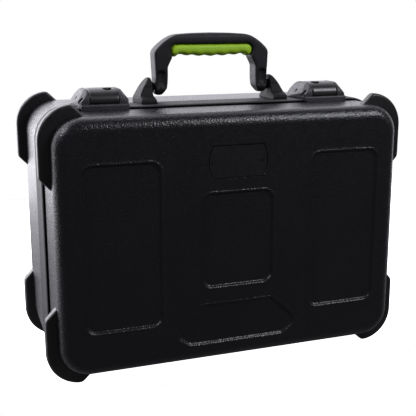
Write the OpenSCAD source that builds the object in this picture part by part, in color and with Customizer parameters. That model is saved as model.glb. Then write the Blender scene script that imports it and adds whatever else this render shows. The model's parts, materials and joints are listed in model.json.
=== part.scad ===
// Hard moulded carrying case for microphones, standing on its hinge side.
// X runs along the width, Y from the lid (front, negative) to the base (rear),
// Z up. The origin is under the middle of the case, on the surface it stands on.
// Shell sections are lists of [u, y]: u is the distance outward from the
// nominal wall line, y the place along the depth.

/* [Case] */
// Width of the moulded shell, without its corner bumpers
case_w = 430; // [380:5:480]
// Height of the moulded shell, without bumpers and handle
case_h = 303; // [280:1:340]
// Depth of the lid, from its front face to the parting line
lid_d = 64.2; // [58:0.2:80]
// Depth of the base, from the parting line to its rear face
base_d = 132.2; // [120:0.2:160]
// Corner radius of the shell seen from the front
corner_r = 38; // [32:1:46]
// Wall of both shells
wall = 4.5; // [4.2:0.1:5.5]
// Draft of the shell sides, as a slope
draft = 0.031; // [0.01:0.001:0.04]
// Rounding between the sides and the lid's front face
front_round = 15; // [12:0.5:18]
// Rounding between the sides and the base's rear face
rear_round = 13; // [9:0.5:16]

/* [Rim] */
// How far the lid's sides stand inside the base's band
lid_step = 3.3; // [2.4:0.1:4]
// Length of the lid's rim extrusion that shows in the groove
lid_lip = 9; // [7:0.5:11]
// Length of the base's rim extrusion in front of its ridged band
base_lip = 3; // [2.4:0.2:5]
// Depth of the groove between lid and base below the base's band
groove_depth = 5; // [4.4:0.1:5.6]
// Width of the ridged band round the base
band_w = 39; // [36:1:44]
// Thickness of the ridged band over the shell's rebate
band_t = 2.2; // [1.8:0.1:2.6]
// Thickness of the rim extrusions inside the shells
leg_t = 2.4; // [2:0.1:3]
// Length of the rim extrusions inside the shells
leg_l = 12; // [9:1:15]
// Thickness of the sealing tongue
tongue_t = 1.2; // [1:0.1:1.5]
// Height of the sealing tongue
tongue_h = 2; // [1.4:0.1:2.4]
// Free play of the tongue in its groove, each side
tongue_play = 0.5; // [0.4:0.1:0.7]
// Gap between the two closed rims
rim_gap = 0.2; // [0.1:0.1:0.4]
// Number of ridge grooves round the band
ridges = 5; // [3:1:7]

/* [Corner bumpers] */
// How far the bumpers stand out from the shell
bump = 8.5; // [6:0.5:11]
// Thickness of a bumper along the depth
bump_t = 11.5; // [9:0.5:14]
// Outer corner radius of a bumper
bump_r = 39.5; // [37:0.5:42]
// Rounding of the bumper's edges
bump_edge = 2.5; // [1:0.5:4]
// Length of a bumper down the case's side, from the shell's top
bump_side = 79.5; // [64:0.5:96]
// How deep a bumper's root is sunk into the shell's wall
bump_root = 3.9; // [3.4:0.1:4.2]
// Distance of the front bumpers' middle behind the front face
front_bump_y = 24.9; // [21:0.1:27]
// Distance of the rear bumpers' middle ahead of the rear face
rear_bump_y = 11.5; // [9:0.5:30]

/* [Front face] */
// Depth of the moulded recesses
recess = 2.5; // [1.5:0.1:3]
// Corner radius of the recessed panels
panel_r = 11; // [8:1:14]
// Width of each side panel
side_panel_w = 87; // [70:1:92]
// Height of each side panel
side_panel_h = 189; // [150:1:200]
// Distance from the case's side to the middle of a side panel
side_panel_in = 78; // [70:1:90]
// Height of the side panels' middle above the shell's bottom
side_panel_z = 151.5; // [140:0.5:160]
// Width of the middle panel
mid_panel_w = 86; // [70:1:90]
// Height of the middle panel
mid_panel_h = 110; // [90:1:114]
// Height of the middle panel's middle above the shell's bottom
mid_panel_z = 151; // [148:1:156]
// Width of the lower recess at its bottom
foot_panel_w = 148; // [120:1:160]
// Width of the lower recess at its top
foot_panel_top = 89; // [70:1:100]
// Height of the lower recess
foot_panel_h = 46; // [36:1:48]
// Height of the lower recess's bottom edge above the shell's bottom
foot_panel_z = 27; // [25:1:32]

/* [Badge plate] */
// Width of the plate at its middle
badge_w = 71; // [60:1:76]
// Height of the plate
badge_h = 36.5; // [30:0.5:40]
// How much narrower the plate is at its top and bottom edges, each side
badge_bow = 4.6; // [2:0.2:7]
// Thickness of the plate
badge_t = 1.8; // [1.2:0.1:2.2]
// Height of the plate's middle above the shell's bottom
badge_z = 242.5; // [236:0.5:246]
// Distance of the plate's screws from its middle
badge_screw_x = 31.2; // [26:0.2:32]
// Gap between the plate and its recess
badge_gap = 0.4; // [0.2:0.1:0.8]

/* [Hinges] */
// Height of the hinge axis below the shell's bottom
hinge_drop = 4.3; // [4:0.1:4.6]
// Outer radius of the hinge knuckles
knuckle_r = 3.2; // [2.8:0.1:3.4]
// Radius of the hinge pin
hinge_pin_r = 1.6; // [1.2:0.1:1.8]
// Length of each hinge
hinge_w = 64; // [48:2:80]
// Distance from the case's side to the middle of a hinge
hinge_in = 103; // [90:1:135]
// Thickness of a hinge leaf
leaf_t = 1.5; // [1.2:0.1:1.8]
// Reach of the base's leaf behind the hinge axis
base_leaf = 36; // [32:1:42]
// Reach of the lid's leaf in front of the hinge axis
lid_leaf = 33; // [32:1:36]
// Radius of a rivet's shank
rivet_r = 2; // [1.5:0.1:2.2]
// Radius of a rivet's head
rivet_head = 3.8; // [3:0.1:4.2]

/* [Handle] */
// Distance of the handle's pivot behind the parting line
handle_y = 31; // [28:1:36]
// Height of the pivot above the shell
pivot_z = 18; // [17:0.5:20]
// Height of the handle's crown above the shell
handle_top = 80.9; // [74:0.1:90]
// Half the width of the handle over its shoulders
handle_half = 73; // [70:0.5:78]
// Width of each arm at its waist
arm_w = 15.5; // [14:0.5:17]
// Thickness of the handle along the depth
handle_t = 22; // [18:0.5:22.4]
// Height of the grip's top surface above the shell
grip_top = 68; // [60:0.5:70]
// Thickness of the soft grip at its middle
grip_t = 15; // [12:0.5:16]
// Half the length of the soft grip
grip_half = 53; // [48:0.5:54]
// Depth of the finger waves
wave = 0.55; // [0.3:0.05:1]
// Radius of the handle's pivot pins
handle_pin_r = 3; // [2.4:0.1:3.5]
// Half the width over both brackets at their feet
bracket_half = 93; // [90:0.5:96]
// Length of a bracket's foot along the depth
bracket_l = 44; // [38:1:46]
// Height of a bracket's foot
foot_h = 6; // [4:0.5:6.5]
// Width of the gap between an arm and its bracket's ear, which a boss fills
ear_gap = 4.6; // [3:0.1:5.4]
// Running gap between an arm and the boss
arm_gap = 0.6; // [0.4:0.1:1]

/* [Latches] */
// Distance from the case's side to the middle of a latch
latch_in = 75.5; // [73:0.5:85]
// Half the width of a latch at its front
latch_front = 27; // [25:0.5:29]
// Half the width of a latch at its rear
latch_rear = 34; // [31:0.5:36]
// Height of a latch above the shell
latch_h = 20; // [18:0.5:22]
// Distance of a latch's front edge ahead of the parting line
latch_ahead = 5; // [4:0.2:6]
// Distance of a latch's rear edge behind the parting line
latch_behind = 40; // [38:0.5:42]
// Half the width of the lever between the cheeks
lever_half = 17; // [15:0.5:18]
// Distance of the lever's pin behind the parting line
lever_pin_y = 20; // [19:0.5:21]
// Height of the lever's pin above the shell
lever_pin_z = 9; // [8.5:0.1:9.5]
// Radius of the lever's pin
lever_pin_r = 1.75; // [1.4:0.05:2]
// Wall of the lever's hood
hood_t = 3; // [2.4:0.1:3.4]
// Radius of the lock's barrel
lock_r = 5; // [4:0.1:5.4]
// How far the lock's barrel stands above the lever
lock_proud = 0.5; // [0.4:0.1:1.4]
// Height of the keeper's apron above the shell
apron_h = 3.5; // [2.5:0.1:4.5]

/* [Inside] */
// Number of columns of microphone pockets
pocket_cols = 5; // [4:1:5]
// Number of rows of microphone pockets
pocket_rows = 3; // [2:1:4]
// Width of one foam block with a column of pockets
block_w = 60; // [58:1:62]
// Diameter of a microphone pocket
pocket_d = 38; // [34:1:42]
// Distance between the pockets of a column
pocket_pitch = 88; // [60:1:92]
// Thickness of the foam pad under the pockets
pad_t = 8; // [6:1:12]
// Distance of the foam's surface behind the parting line
foam_back = 28; // [26:1:36]
// Thickness of the lid's foam
lid_foam_t = 14.5; // [10:0.5:18]
// Wall of the foam round the accessory compartment
tray_wall = 12; // [9:1:16]
// Gap between foam and its neighbours
foam_gap = 0.3; // [0.2:0.1:0.6]

/* [Fits] */
// Radial clearance of pins and screws in their bores
fit = 0.05; // [0.03:0.01:0.09]
// Gap between moving faces
run_gap = 0.3; // [0.2:0.05:0.5]

/* [Hidden] */
$fn = 64;
eps = 0.01;

// Places along the depth
front_y = -(lid_d + base_d) / 2;
rear_y = -front_y;
part_y = front_y + lid_d;
lid_rim_y = part_y - lid_lip;
base_lip_y = part_y + base_lip;
band_end_y = base_lip_y + band_w;
leg_end_y = base_lip_y + leg_t + leg_l;
// The lid's outline, inside the base's
lid_w = case_w - 2 * lid_step;
lid_h = case_h - 2 * lid_step;
lid_r = corner_r - lid_step;
latch_x = case_w / 2 - latch_in;
side_panel_x = case_w / 2 - side_panel_in;
hinge_x = case_w / 2 - hinge_in;
// Heights
shell_bottom = bump;
shell_top = bump + case_h;
mid_z = bump + case_h / 2;
lid_bottom = shell_bottom + lid_step;
// Slope angle of the drafted sides
draft_a = atan(draft);

// Points of an arc round c, from angle a0 to a1
function arc(c, r, a0, a1, n = 6) =
    [for (i = [0:n]) c + r * [cos(a0 + (a1 - a0) * i / n), sin(a0 + (a1 - a0) * i / n)]];

// Side of a shell half, offset inward by inset, from its rim at y0 to the middle of
// its face: a drafted line, then an arc into the flat face. dir is -1 towards the
// front and 1 towards the rear.
function shell_side(inset, y0, dir, depth, r, n = 7) =
    let (rr = r - inset,
        dc = depth - inset - rr,
        uc = -inset - draft * dc - rr / cos(draft_a))
    concat([[-inset, y0]],
        [for (i = [0:n]) let (a = draft_a + (90 - draft_a) * i / n)
            [uc + rr * cos(a), y0 + dir * (dc + rr * sin(a))]]);

function mirror_v(pts) = [for (i = [len(pts) - 1:-1:0]) [-pts[i][0], pts[i][1]]];
function shift_u(pts, d) = [for (p = pts) [p[0] + d, p[1]]];
function swap(pts) = [for (p = pts) [p[1], p[0]]];

// Copies the children to all four corners of the shell's outline
module four_corners() {
    for (sx = [0, 1])
        for (sz = [0, 1])
            mirror([sx, 0, 0]) mirror([0, 0, sz]) children();
}

// A quarter turn of a section round the corner's axis, at the corner +X +Z
module corner_turn(section, w, h, r) {
    translate([w / 2 - r, 0, h / 2 - r])
        rotate([90, 0, 0])
            rotate_extrude(angle = 90)
                polygon([for (p = section) [r + p[0], -p[1]]]);
}

// Solid of a rounded rectangle w by h whose side follows an open section
module pan(section, w, h, r) {
    y0 = section[0][1];
    y1 = section[len(section) - 1][1];
    across = concat(shift_u(section, w / 2), mirror_v(shift_u(section, w / 2)));
    upright = concat(shift_u(section, h / 2), mirror_v(shift_u(section, h / 2)));
    linear_extrude(h - 2 * r, center = true) polygon(across);
    rotate([90, 0, 90]) linear_extrude(w - 2 * r, center = true) polygon(swap(upright));
    four_corners() corner_turn(concat([[-r, y0]], section, [[-r, y1]]), w, h, r);
}

// Ring of a closed section round a rounded rectangle w by h
module ring(section, w, h, r) {
    for (s = [0, 1]) {
        mirror([s, 0, 0]) linear_extrude(h - 2 * r, center = true) polygon(shift_u(section, w / 2));
        mirror([0, 0, s])
            rotate([90, 0, 90]) linear_extrude(w - 2 * r, center = true)
                polygon(swap(shift_u(section, h / 2)));
    }
    four_corners() corner_turn(section, w, h, r);
}

// Plate of an outline given in X and Z, from y0 to y1
module plate(y0, y1) {
    translate([0, y1, 0]) rotate([90, 0, 0]) linear_extrude(y1 - y0) children();
}

// Rounded rectangle as one outline
function round_rect(w, h, r, n = 6) = concat(
    arc([w / 2 - r, h / 2 - r], r, 0, 90, n), arc([r - w / 2, h / 2 - r], r, 90, 180, n),
    arc([r - w / 2, r - h / 2], r, 180, 270, n), arc([w / 2 - r, r - h / 2], r, 270, 360, n));

// Round bar along X
module bar_x(r, x0, x1, y, z) {
    translate([x0, y, z]) rotate([0, 90, 0]) cylinder(r = r, h = x1 - x0);
}

// ---------------------------------------------------------------- bumpers

// One corner guard at the corner +X +Z, its middle at depth y, on a wall whose
// surface lies at u = skin
module bumper(y, skin) {
    root = skin - bump_root;
    e = bump_edge;
    h = bump_t / 2;
    section = concat([[root, y - h]], arc([bump - e, y - h + e], e, -90, 0, 4),
        arc([bump - e, y + h - e], e, 0, 90, 4), [[root, y + h]]);
    cx = case_w / 2 + bump - bump_r;
    cz = case_h / 2 + bump - bump_r;
    foot = bump - root;
    top_run = foot;
    side_run = bump_side + bump - bump_r - bump - root;
    difference() {
        union() {
            corner_turn(section, case_w, case_h, bump_r - bump);
            translate([cx - top_run, 0, 0])
                rotate([90, 0, 90]) linear_extrude(top_run) polygon(swap(shift_u(section, case_h / 2)));
            translate([0, 0, cz - side_run])
                linear_extrude(side_run) polygon(shift_u(section, case_w / 2));
        }
        // 45 degree ends
        plate(y - bump_t, y + bump_t)
            polygon([[cx, case_h / 2 + bump], [cx, case_h / 2 + bump + foot],
                [cx - 2 * foot, case_h / 2 + bump + foot], [cx - 2 * foot, case_h / 2 + bump - 2 * foot]]);
        plate(y - bump_t, y + bump_t)
            translate([case_w / 2 + bump, cz - side_run + foot])
                polygon([[0, 0], [foot, 0], [foot, -2 * foot], [-2 * foot, -2 * foot]]);
    }
}

// ------------------------------------------------------------------- base

base_outer = concat([[-band_t - 0.1, base_lip_y + leg_t], [-band_t - 0.1, band_end_y]],
    shell_side(0, band_end_y, 1, rear_y - band_end_y, rear_round));
base_inner = concat([[-wall, base_lip_y - eps]],
    shell_side(wall, band_end_y, 1, rear_y - band_end_y, rear_round));

module base_shell() {
    color([0.07, 0.07, 0.08])
    difference() {
        translate([0, 0, mid_z]) {
            difference() {
                pan(base_outer, case_w, case_h, corner_r);
                pan(base_inner, case_w, case_h, corner_r);
            }
            four_corners() bumper(rear_y - rear_bump_y, -draft * (rear_y - rear_bump_y - band_end_y));
        }
        base_bores();
    }
}

// Band with ridges outside, a leg inside the shell's rim and the sealing tongue
function groove_cut(y) = [[0, y - 0.6], [-0.5, y - 0.3], [-0.5, y + 0.3], [0, y + 0.6]];
tongue_u = -groove_depth - 2.3;
// Inner face of both rim extrusions where they meet
rim_in = -lid_step - wall - 0.1 - leg_t;
base_rim_section = concat(
    [[0, base_lip_y]],
    [for (i = [0:ridges - 1]) each groove_cut(base_lip_y + band_w * (i + 0.5) / (ridges + 0.5))],
    [[0, band_end_y], [-band_t, band_end_y], [-band_t, base_lip_y + leg_t],
    [-wall - 0.1, base_lip_y + leg_t], [-wall - 0.1, leg_end_y],
    [-wall - 0.1 - leg_t, leg_end_y], [-wall - 0.1 - leg_t, base_lip_y + leg_t],
    [rim_in, base_lip_y + leg_t], [rim_in, part_y],
    [tongue_u - tongue_t / 2, part_y], [tongue_u - tongue_t / 2, part_y - tongue_h],
    [tongue_u + tongue_t / 2, part_y - tongue_h], [tongue_u + tongue_t / 2, part_y],
    [-groove_depth, part_y], [-groove_depth, base_lip_y]]);

module base_valance() {
    color([0.24, 0.24, 0.25])
    difference() {
        translate([0, 0, mid_z]) ring(base_rim_section, case_w, case_h, corner_r);
        base_bores();
    }
}

// -------------------------------------------------------------------- lid

lid_outer = shell_side(0, lid_rim_y, -1, lid_rim_y - front_y, front_round);
lid_inner = concat([[-wall, lid_rim_y + eps]],
    shell_side(wall, lid_rim_y, -1, lid_rim_y - front_y, front_round));

// Negative of a soft-edged recess in the front face
module soft_recess(w, h, r) {
    edge = [[1, front_y - 1], [0, front_y], [-recess, front_y + recess]];
    pan(edge, w, h, r);
}

// Outline of the lower recess, grown outward by g
function foot_panel(g) =
    let (b = foot_panel_w / 2 + g, t = foot_panel_top / 2 + g * 0.6, h = foot_panel_h / 2 + g,
        r = 10, shoulder = 13)
    concat(arc([b - r - 2, -h + r], r, 270, 348, 5), [[b, -h + shoulder + r / 2]],
        [[t, h], [-t, h]], [[-b, -h + shoulder + r / 2]], arc([-b + r + 2, -h + r], r, 192, 270, 5));

// Outline of the badge plate, grown by g
function badge_outline(g) =
    let (w = badge_w / 2 + g, h = badge_h / 2 + g, n = 8)
    concat([for (i = [0:n]) let (t = -1 + 2 * i / n) [w - badge_bow * t * t, h * t]],
        [for (i = [0:n]) let (t = 1 - 2 * i / n) [-w + badge_bow * t * t, h * t]]);

// Everything moulded into the front face; g grows the outlines for the backing
module panel_pads(g) {
    for (s = [-1, 1])
        translate([s * side_panel_x, side_panel_z])
            polygon(round_rect(side_panel_w + 2 * g, side_panel_h + 2 * g, panel_r + g));
    translate([0, mid_panel_z])
        polygon(round_rect(mid_panel_w + 2 * g, mid_panel_h + 2 * g, panel_r + g));
    translate([0, foot_panel_z + foot_panel_h / 2]) polygon(foot_panel(g));
    translate([0, badge_z]) polygon(badge_outline(g));
}

module lid_shell() {
    color([0.07, 0.07, 0.08])
    difference() {
        translate([0, 0, mid_z]) {
            difference() {
                pan(lid_outer, lid_w, lid_h, lid_r);
                difference() {
                    pan(lid_inner, lid_w, lid_h, lid_r);
                    plate(front_y, front_y + wall + recess)
                        translate([0, -case_h / 2]) panel_pads(2);
                }
                for (s = [-1, 1])
                    translate([s * side_panel_x, 0, side_panel_z - case_h / 2])
                        soft_recess(side_panel_w, side_panel_h, panel_r);
                translate([0, 0, mid_panel_z - case_h / 2])
                    soft_recess(mid_panel_w, mid_panel_h, panel_r);
                plate(front_y - 1, front_y + recess)
                    translate([0, foot_panel_z + foot_panel_h / 2 - case_h / 2])
                        polygon(foot_panel(0));
                plate(front_y - 1, front_y + recess)
                    translate([0, badge_z - case_h / 2]) polygon(badge_outline(badge_gap));
            }
            four_corners()
                bumper(front_y + front_bump_y, -lid_step - draft * (lid_rim_y - front_y - front_bump_y));
        }
        lid_bores();
    }
}

lid_rim_section =
    let (u0 = rim_in + leg_t, u1 = rim_in, seam = part_y - rim_gap,
        g0 = tongue_u + tongue_t / 2 + tongue_play, g1 = tongue_u - tongue_t / 2 - tongue_play,
        deep = seam - tongue_h - 0.6)
    [[-groove_depth, lid_rim_y], [-groove_depth, seam], [g0, seam], [g0, deep], [g1, deep],
    [g1, seam], [u1, seam], [u1, lid_rim_y - leg_l], [u0 - draft * leg_l, lid_rim_y - leg_l],
    [u0, lid_rim_y]];

module lid_valance() {
    color([0.10, 0.10, 0.11])
    difference() {
        translate([0, 0, mid_z]) ring(lid_rim_section, case_w, case_h, corner_r);
        keeper_bores();
    }
}

// ------------------------------------------------------------------- foam

foam_in = wall + draft * (rear_y - band_end_y) + foam_gap;
foam_front = part_y + foam_back;
pad_back = rear_y - wall - foam_gap;
pad_front = pad_back - pad_t;
foam_half_w = case_w / 2 - foam_in;
foam_half_h = case_h / 2 - foam_in;
pockets_x0 = -foam_half_w;
tray_x0 = pockets_x0 + pocket_cols * block_w + foam_gap;

module base_foam_pad() {
    color([0.13, 0.13, 0.14])
    translate([0, 0, mid_z])
        intersection() {
            pan(shell_side(wall + foam_gap, band_end_y, 1, rear_y - band_end_y, rear_round),
                case_w, case_h, corner_r);
            translate([-case_w / 2, pad_front, -case_h / 2]) cube([case_w, pad_t + 1, case_h]);
        }
}

module foam_outline() {
    plate(foam_front, pad_front - foam_gap)
        polygon(round_rect(2 * foam_half_w, 2 * foam_half_h, corner_r - foam_in, 10));
}

// Block with one column of through pockets; the pad closes them at the back
module mic_foam(i) {
    color([0.16, 0.16, 0.17])
    translate([0, 0, mid_z])
    difference() {
        intersection() {
            foam_outline();
            translate([pockets_x0 + i * block_w, foam_front, -case_h / 2])
                cube([block_w - foam_gap, pad_front - foam_front, case_h]);
        }
        for (k = [0:pocket_rows - 1])
            translate([pockets_x0 + (i + 0.5) * block_w, foam_front - 1,
                (k - (pocket_rows - 1) / 2) * pocket_pitch])
                rotate([-90, 0, 0]) cylinder(d = pocket_d, h = pad_front - foam_front + 2);
    }
}

module mic_foam_1() { mic_foam(0); }
module mic_foam_2() { mic_foam(1); }
module mic_foam_3() { mic_foam(2); }
module mic_foam_4() { mic_foam(3); }
module mic_foam_5() { mic_foam(4); }

// Foam frame round the compartment for leads and clips
module accessory_foam() {
    color([0.16, 0.16, 0.17])
    translate([0, 0, mid_z])
    difference() {
        intersection() {
            foam_outline();
            translate([tray_x0, foam_front, -case_h / 2])
                cube([foam_half_w - tray_x0, pad_front - foam_front, case_h]);
        }
        translate([tray_x0 + tray_wall, foam_front - 1, -foam_half_h + tray_wall])
            cube([foam_half_w - tray_x0 - 2 * tray_wall, pad_front - foam_front + 2,
                2 * (foam_half_h - tray_wall)]);
    }
}

lid_foam_front = front_y + wall + recess + foam_gap;
// Inset of the lid's foam, clear of the rim extrusion as it goes in
lid_foam_in = wall + leg_t + 1;

module lid_foam() {
    color([0.13, 0.13, 0.14])
    translate([0, 0, mid_z])
        pan([[0, lid_foam_front + lid_foam_t], [0, lid_foam_front + 8], [-6, lid_foam_front]],
            lid_w - 2 * lid_foam_in, lid_h - 2 * lid_foam_in, lid_r - lid_foam_in);
}

// ----------------------------------------------------------------- hinges

hinge_z = shell_bottom - hinge_drop;
knuckles = 5;
knuckle_w = hinge_w / knuckles;
rivet_inset = 7;
// Length over which the lid's leaf steps up to the lid
joggle = 3.4;
base_rivet_y = part_y + base_leaf - 6;
lid_rivet_y = part_y - lid_leaf + 4.5;

// Knuckles of one leaf: first is 0 for the base's three, 1 for the lid's two
module knuckle_row(first, dir) {
    for (k = [first:2:knuckles - 1])
        translate([-hinge_w / 2 + k * knuckle_w + rim_gap / 2, 0, 0]) {
            w = knuckle_w - rim_gap;
            bar_x(knuckle_r, 0, w, part_y, hinge_z);
            translate([0, dir > 0 ? part_y : part_y - knuckle_r, hinge_z])
                cube([w, knuckle_r, hinge_drop - eps]);
        }
}

function lid_under(d) = draft * max(0, d - lid_lip);

module hinge_leaf(first, dir, reach) {
    start = knuckle_r - 0.2;
    seat = 0.05;
    difference() {
        union() {
            knuckle_row(first, dir);
            rotate([90, 0, 90]) linear_extrude(hinge_w, center = true)
                polygon(dir > 0
                    ? [[part_y + start, shell_bottom - leaf_t], [part_y + reach, shell_bottom - leaf_t],
                        [part_y + reach, shell_bottom], [part_y + start, shell_bottom]]
                    : [[part_y - start, shell_bottom - leaf_t], [part_y - start, shell_bottom - seat],
                        [lid_rim_y + joggle, shell_bottom - seat], [lid_rim_y, lid_bottom - seat],
                        [part_y - reach, lid_bottom - seat + lid_under(reach)],
                        [part_y - reach, lid_bottom - leaf_t], [lid_rim_y - 1, lid_bottom - leaf_t],
                        [lid_rim_y + joggle - 1, shell_bottom - leaf_t]]);
        }
        // room for the other leaf's knuckles
        for (k = [1 - first:2:knuckles - 1])
            bar_x(knuckle_r + run_gap, -hinge_w / 2 + k * knuckle_w - 0.1,
                -hinge_w / 2 + (k + 1) * knuckle_w + 0.1, part_y, hinge_z);
        bar_x(hinge_pin_r + fit, -hinge_w, hinge_w, part_y, hinge_z);
    }
}

module each_hinge() {
    for (s = [-1, 1])
        translate([s * hinge_x, 0, 0]) children();
}

module each_rivet(y) {
    each_hinge()
        for (t = [-1, 0, 1])
            translate([t * (hinge_w / 2 - rivet_inset), y, 0]) children();
}

module hinge_base_leaves() {
    color([0.16, 0.16, 0.17])
    difference() {
        each_hinge() hinge_leaf(0, 1, base_leaf);
        each_rivet(base_rivet_y) cylinder(r = rivet_r + fit, h = shell_bottom + 1);
    }
}

module hinge_lid_leaves() {
    color([0.16, 0.16, 0.17])
    difference() {
        each_hinge() hinge_leaf(1, -1, lid_leaf);
        each_rivet(lid_rivet_y) cylinder(r = rivet_r + fit, h = lid_bottom + 3);
    }
}

module hinge_pins() {
    color([0.55, 0.55, 0.57])
    each_hinge() bar_x(hinge_pin_r, -hinge_w / 2 - 0.5, hinge_w / 2 + 0.5, part_y, hinge_z);
}

// Domed rivet through a leaf whose underside is at head_z, up to its inner head at top
module rivet(head_z, top) {
    translate([0, 0, head_z - 1]) cylinder(r = rivet_head - 0.6, h = 0.5);
    translate([0, 0, head_z - 0.5]) cylinder(r = rivet_head, h = 0.5);
    translate([0, 0, head_z - 0.5]) cylinder(r = rivet_r, h = top - head_z + 1);
    translate([0, 0, top]) cylinder(r = rivet_head - 0.6, h = 1.2);
}

lid_rivet_top = lid_bottom + wall + lid_under(part_y - lid_rivet_y + rivet_head);

module hinge_base_rivets() {
    color([0.5, 0.5, 0.52])
    each_rivet(base_rivet_y) rivet(shell_bottom - leaf_t, shell_bottom + wall);
}

module hinge_lid_rivets() {
    color([0.5, 0.5, 0.52])
    each_rivet(lid_rivet_y) rivet(lid_bottom - leaf_t, lid_rivet_top);
}

// ----------------------------------------------------------------- handle

pivot_y = part_y + handle_y;
pivot_top = shell_top + pivot_z;
arm_half = handle_t / 2;
arm_outer = handle_half - 1.5;
arm_in = arm_outer - arm_w;
bracket_in = bracket_half - 19.3;
ear_in = arm_outer + ear_gap;
grip_r = 7.6;
grip_fit = 0.3;
// Height of the gussets' lower ends above the shell
gusset_z = 41.8;

// Front view of the bail's outside, from under the right arm up to the crown
function bail_half() = concat(
    [[arm_in + 6.7, 8]], arc([arm_outer - 4, 12], 4, 280, 360, 4),
    [[arm_outer, 30], [handle_half, handle_top - 23.9], [handle_half - 0.6, handle_top - 21.3],
    [handle_half - 2.6, handle_top - 18.3], [handle_half - 6.4, handle_top - 14.6],
    [handle_half - 11.5, handle_top - 10.3], [handle_half - 17, handle_top - 6.7],
    [handle_half - 22.5, handle_top - 3.8], [handle_half - 26.7, handle_top - 2.4],
    [handle_half - 31, handle_top - 1.6], [handle_half - 49, handle_top - 0.5], [0, handle_top]]);

// Its inside, from the bar's middle down the gusset to the foot of the right arm
function bail_inner() = concat([[0, grip_top]],
    arc([grip_half - grip_r, grip_top - grip_r], grip_r, 90, -35, 6),
    [[grip_half - 2.8, grip_top - grip_t - 0.4], [arm_in, gusset_z], [arm_in, 30], [arm_in + 1, 17]]);

module bail_outline() {
    outer = bail_half();
    inner = bail_inner();
    polygon(concat(outer, [for (i = [len(outer) - 2:-1:0]) [-outer[i][0], outer[i][1]]],
        [for (i = [len(inner) - 1:-1:1]) [-inner[i][0], inner[i][1]]], inner));
}

// Side view of the bail: arms round at the pivot, bar rounded at the top
module bail_side() {
    e = 6;
    rotate([90, 0, 90]) linear_extrude(2 * handle_half + 2, center = true)
        translate([pivot_y, shell_top])
            polygon(concat(arc([0, pivot_z], arm_half, 180, 360, 16),
                arc([arm_half - e, handle_top + eps - e], e, 0, 90, 6),
                arc([-arm_half + e, handle_top + eps - e], e, 90, 180, 6)));
}

module handle_bail() {
    color([0.09, 0.09, 0.1])
    difference() {
        intersection() {
            plate_at(pivot_y - arm_half, pivot_y + arm_half) bail_outline();
            bail_side();
        }
        for (s = [0, 1])
            mirror([s, 0, 0]) {
                bar_x(handle_pin_r + fit, arm_in + pin_depth - 1, handle_half + 1, pivot_y, pivot_top);
                arm_pocket();
            }
    }
}

// Recessed pocket on an arm's front, with a round boss at the pivot left standing
module arm_pocket() {
    depth = 3.2;
    difference() {
        plate_at(pivot_y - arm_half - 1, pivot_y - arm_half + depth)
            translate([arm_outer - arm_w / 2 + 1, pivot_z + 8])
                polygon(round_rect(10, 20, 2.5, 3));
        translate([arm_outer - arm_w / 2 + 1, pivot_y, pivot_top])
            rotate([90, 0, 0]) cylinder(r = 2.6, h = arm_half + 2);
    }
}

module plate_at(y0, y1) {
    translate([0, 0, shell_top]) plate(y0, y1) children();
}

// Soft grip under the bar, its underside bowed and waved for the fingers
grip_pitch = 15.5;
grip_bow = 0.0013;
grip_end = 43.5;
function grip_wave(x) = grip_top - grip_t + grip_bow * x * x - wave * cos(360 * x / grip_pitch);

module handle_grip() {
    n = 56;
    r = grip_r - grip_fit;
    low = grip_top - grip_t;
    side = concat(arc([grip_half - grip_r, grip_top - grip_r], r, -35, 90, 6));
    wavy = [for (i = [0:n]) let (x = -grip_end + 2 * grip_end * i / n) [x, grip_wave(x)]];
    toe = [[grip_half - 7, low + 0.9], [grip_half - 4.6, low + 0.4], [grip_half - 3, low + 1.2]];
    color([0.55, 0.73, 0.16])
    intersection() {
        plate_at(pivot_y - arm_half + 0.4, pivot_y + arm_half - 0.4)
            polygon(concat(wavy, toe, side, [for (i = [len(side) - 1:-1:0]) [-side[i][0], side[i][1]]],
                [for (i = [len(toe) - 1:-1:0]) [-toe[i][0], toe[i][1]]]));
        rotate([90, 0, 90]) linear_extrude(2 * handle_half, center = true)
            translate([pivot_y, shell_top])
                polygon(concat([[arm_half, grip_top + 1], [-arm_half, grip_top + 1]],
                    arc([-arm_half + 0.4 + 4, low - wave + 4], 4, 180, 260, 6),
                    arc([arm_half - 0.4 - 4, low - wave + 4], 4, 280, 360, 6)));
    }
}

pin_depth = 7;
pin_end = bracket_half - 9.5;

// Foot and leaning ear, with a boss that reaches in to the arm
module handle_bracket() {
    ear_r = arm_half + 0.4;
    front = -bracket_l / 2 - 3;
    back = bracket_l / 2 - 3;
    color([0.06, 0.06, 0.07])
    difference() {
        union() {
            intersection() {
                // front view: foot, then the leaning outer face of the ear
                plate_at(pivot_y + front, pivot_y + back)
                    polygon(concat([[bracket_in, 0], [bracket_half, 0]],
                        arc([bracket_half - 26, 3], 26, 3, 12, 3),
                        [[bracket_half - 5, pivot_z - 0.5]],
                        arc([ear_in + 2.7, pivot_z + 9.4], 2, 20, 90, 4),
                        arc([ear_in + 1.4, pivot_z + 10], 1.4, 90, 180, 3),
                        [[ear_in, foot_h + 4], [bracket_in + 0.6, 2.5]]));
                // side view: a wide foot rising to a round top over the pivot
                rotate([90, 0, 90]) linear_extrude(bracket_half + 1)
                    translate([pivot_y, shell_top])
                        polygon(concat([[front, 0], [back, 0]],
                            arc([back - 3, foot_h - 3], 3, 0, 60, 3),
                            [[ear_r + 3, foot_h + 3]], arc([0, pivot_z], ear_r, 0, 180, 16),
                            [[-ear_r - 3, foot_h + 3]],
                            arc([front + 3, foot_h - 3], 3, 120, 180, 3)));
            }
            bar_x(2 * handle_pin_r, arm_outer + arm_gap, ear_in + 1, pivot_y, pivot_top);
        }
        bar_x(handle_pin_r + fit, arm_outer, pin_end + fit, pivot_y, pivot_top);
        inner_screw_places(0) screw_bore(8);
    }
}

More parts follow.
